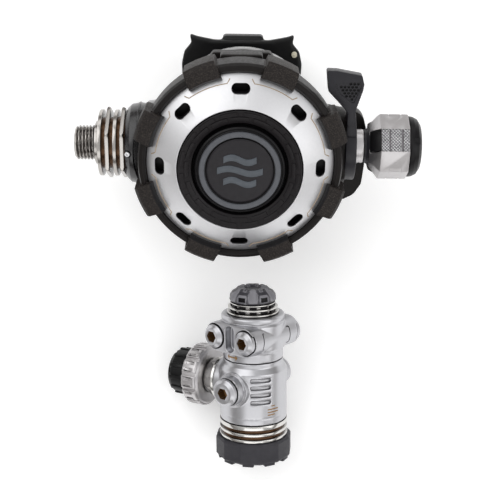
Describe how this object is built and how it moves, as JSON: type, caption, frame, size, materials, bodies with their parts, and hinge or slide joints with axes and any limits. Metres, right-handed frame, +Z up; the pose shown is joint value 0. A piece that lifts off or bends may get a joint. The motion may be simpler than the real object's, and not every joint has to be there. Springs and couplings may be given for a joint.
{
  "type": "scuba regulator set",
  "caption": "Second stage with a purge button and valve knob lying on its back, beside a turret first stage with a hand wheel and dust cap.",
  "frame": {"origin": "bottom centre of the set's bounding box, on the table that both stages lie on", "axes": "+Y from the first stage towards the mouthpiece, the set's longest extent; +X along the second stage's valve towards the knob; +Z up from the table, the shortest extent"},
  "size_m": [0.1444, 0.1906, 0.0936],
  "materials": {
    "plate_silver": "satin",
    "satin_chrome": "satin",
    "polished_chrome": "polished",
    "stainless": "brushed",
    "brass": "machined",
    "black_gloss": "glossy",
    "black_matte": "fine matte",
    "slate_plastic": "fine matte",
    "grey_plastic": "satin",
    "grip_rubber": "dimpled",
    "black_rubber": "smooth",
    "charcoal_rubber": "matte"
  },
  "bodies": {
    "housing": {"faceplate": "plate_silver", "front_cover": "black_matte", "bumper_ring": "grip_rubber", "purge_spring": "stainless", "spring_carrier": "black_matte", "second_stage_case": "black_gloss", "mouthpiece": "black_rubber", "mouthpiece_clamp": "black_matte", "exhaust_tee": "black_rubber", "exhaust_valve": "black_rubber", "inlet_fitting": "polished_chrome", "heat_exchanger": "polished_chrome", "heat_exchanger_nut": "polished_chrome", "inlet_sleeve": "black_gloss", "sleeve_screw": "stainless", "valve_barrel": "brass", "orifice": "stainless", "poppet_spring": "stainless", "barrel_nut": "polished_chrome", "knob_neck": "slate_plastic", "first_stage_body": "satin_chrome", "diaphragm_clamp": "polished_chrome", "base_cap": "charcoal_rubber", "sealing_diaphragm": "black_rubber", "load_transmitter": "black_matte", "spring_adjuster": "brass", "main_spring": "stainless", "spring_seat": "brass", "main_diaphragm": "black_rubber", "turret_bolt": "polished_chrome", "top_knob": "charcoal_rubber", "high_pressure_plug_1": "satin_chrome", "high_pressure_plug_2": "satin_chrome", "tank_connection_stem": "satin_chrome", "inlet_filter": "brass", "face_seal": "black_rubber"},
    "purge_button": {"purge_button": "black_matte", "button_ring": "grey_plastic", "emblem_disc": "black_gloss"},
    "diaphragm": {"diaphragm": "black_rubber", "diaphragm_disc": "stainless"},
    "demand_lever": {"demand_lever": "stainless"},
    "poppet": {"poppet": "black_matte"},
    "venturi_lever": {"venturi_lever": "slate_plastic"},
    "adjustment_knob": {"adjustment_knob": "satin_chrome", "knob_cap": "black_matte", "adjuster_stem": "brass", "stem_seal": "black_rubber"},
    "turret": {"turret": "satin_chrome", "low_pressure_plug_1": "satin_chrome", "low_pressure_plug_2": "satin_chrome", "low_pressure_plug_3": "satin_chrome", "low_pressure_plug_4": "satin_chrome"},
    "handwheel": {"handwheel": "satin_chrome"},
    "dust_cap": {"dust_cap": "black_rubber"},
    "high_pressure_valve": {"high_pressure_poppet": "brass", "poppet_lifter": "brass"}
  },
  "joints": [
    {"name": "purge_press", "type": "slide", "parent": "housing", "child": "purge_button", "axis": [0.0076, 0.5446, -0.8387], "range_m": [0, 0.0035], "stiffness_N_per_m": 500, "springref_m": -0.003, "deforming": ["purge_spring"]},
    {"name": "diaphragm_travel", "type": "slide", "parent": "housing", "child": "diaphragm", "axis": [0.0076, 0.5446, -0.8387], "range_m": [0, 0.0035], "deforming": ["diaphragm"]},
    {"name": "demand_lever_pivot", "type": "hinge", "parent": "housing", "child": "demand_lever", "pos_m": [0.01216, 0.03334, 0.05452], "axis": [0.0117, 0.8386, 0.5446], "range_deg": [-12.6, 0]},
    {"name": "poppet_travel", "type": "slide", "parent": "housing", "child": "poppet", "axis": [0.9999, -0.014, 0], "range_m": [0, 0.001], "deforming": ["poppet_spring"]},
    {"name": "venturi_turn", "type": "hinge", "parent": "housing", "child": "venturi_lever", "pos_m": [0.04273, 0.03798, 0.04672], "axis": [0.9999, -0.014, 0], "range_deg": [-40, 0]},
    {"name": "knob_turn", "type": "hinge", "parent": "housing", "child": "adjustment_knob", "pos_m": [0.05672, 0.03778, 0.04672], "axis": [0.9999, -0.014, 0], "range_deg": [-360, 360]},
    {"name": "turret_swivel", "type": "hinge", "parent": "housing", "child": "turret", "pos_m": [0.002, -0.03932, 0.03339], "axis": [-0.0082, 0.9372, 0.3486], "continuous": true},
    {"name": "handwheel_turn", "type": "hinge", "parent": "housing", "child": "handwheel", "pos_m": [-0.01919, -0.05591, 0.01414], "axis": [-0.8675, 0.1667, -0.4686], "continuous": true},
    {"name": "dust_cap_pull", "type": "slide", "parent": "handwheel", "child": "dust_cap", "axis": [-0.8675, 0.1667, -0.4686], "range_m": [0, 0.01]},
    {"name": "high_pressure_valve_lift", "type": "slide", "parent": "housing", "child": "high_pressure_valve", "axis": [-0.0082, 0.9372, 0.3486], "range_m": [0, 0.0006], "stiffness_N_per_m": 3000, "springref_m": -0.0005}
  ],
  "couplings": [
    {"joint": "diaphragm_travel", "follows": "purge_press", "ratio": 1},
    {"joint": "demand_lever_pivot", "follows": "purge_press", "rad_per_m": -62.5},
    {"joint": "poppet_travel", "follows": "purge_press", "ratio": 0.2857}
  ]
}
